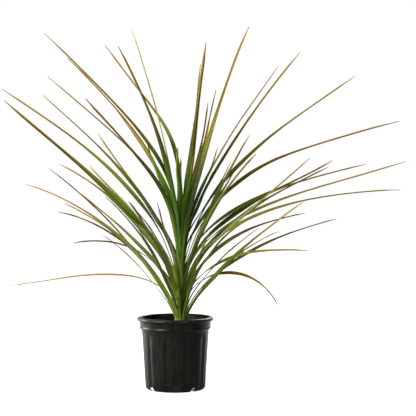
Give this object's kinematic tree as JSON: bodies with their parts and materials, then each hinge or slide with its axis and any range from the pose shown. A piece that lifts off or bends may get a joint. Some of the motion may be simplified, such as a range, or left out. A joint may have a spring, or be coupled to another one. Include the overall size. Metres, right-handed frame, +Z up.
{
  "type": "potted dracaena",
  "caption": "Dragon tree house plant: a crown of long arching sword-shaped leaves on a short cane, in a black nursery pot of soil.",
  "frame": {"origin": "centre of the pot's flat underside", "axes": "+Z up through the pot's axis; +X towards the viewer's right; +Y away from the viewer"},
  "size_m": [0.8861, 0.8807, 0.7904],
  "materials": {
    "pot_plastic": "satin",
    "potting_soil": "matt, crumbly",
    "cane_bark": "matt, ringed",
    "leaf_blade": "satin, waxy"
  },
  "bodies": {
    "root": {"pot": "pot_plastic", "soil": "potting_soil", "cane": "cane_bark", "leaf_01": "leaf_blade", "leaf_02": "leaf_blade", "leaf_03": "leaf_blade", "leaf_04": "leaf_blade", "leaf_05": "leaf_blade", "leaf_06": "leaf_blade", "leaf_07": "leaf_blade", "leaf_08": "leaf_blade", "leaf_09": "leaf_blade", "leaf_10": "leaf_blade", "leaf_11": "leaf_blade", "leaf_12": "leaf_blade", "leaf_13": "leaf_blade", "leaf_14": "leaf_blade", "leaf_15": "leaf_blade", "leaf_16": "leaf_blade", "leaf_17": "leaf_blade", "leaf_18": "leaf_blade", "leaf_19": "leaf_blade", "leaf_20": "leaf_blade", "leaf_21": "leaf_blade", "leaf_22": "leaf_blade", "leaf_23": "leaf_blade", "leaf_24": "leaf_blade", "leaf_25": "leaf_blade", "leaf_26": "leaf_blade", "leaf_27": "leaf_blade", "leaf_28": "leaf_blade", "leaf_29": "leaf_blade", "leaf_30": "leaf_blade", "leaf_31": "leaf_blade", "leaf_32": "leaf_blade", "leaf_33": "leaf_blade", "leaf_34": "leaf_blade", "leaf_35": "leaf_blade", "leaf_36": "leaf_blade", "leaf_37": "leaf_blade", "leaf_38": "leaf_blade", "leaf_39": "leaf_blade", "leaf_40": "leaf_blade", "leaf_41": "leaf_blade", "leaf_42": "leaf_blade", "leaf_43": "leaf_blade", "leaf_44": "leaf_blade", "leaf_45": "leaf_blade", "leaf_46": "leaf_blade", "leaf_47": "leaf_blade", "leaf_48": "leaf_blade", "leaf_49": "leaf_blade", "leaf_50": "leaf_blade", "leaf_51": "leaf_blade", "leaf_52": "leaf_blade", "leaf_53": "leaf_blade", "leaf_54": "leaf_blade", "leaf_55": "leaf_blade", "leaf_56": "leaf_blade", "leaf_57": "leaf_blade"}
  },
  "joints": []
}
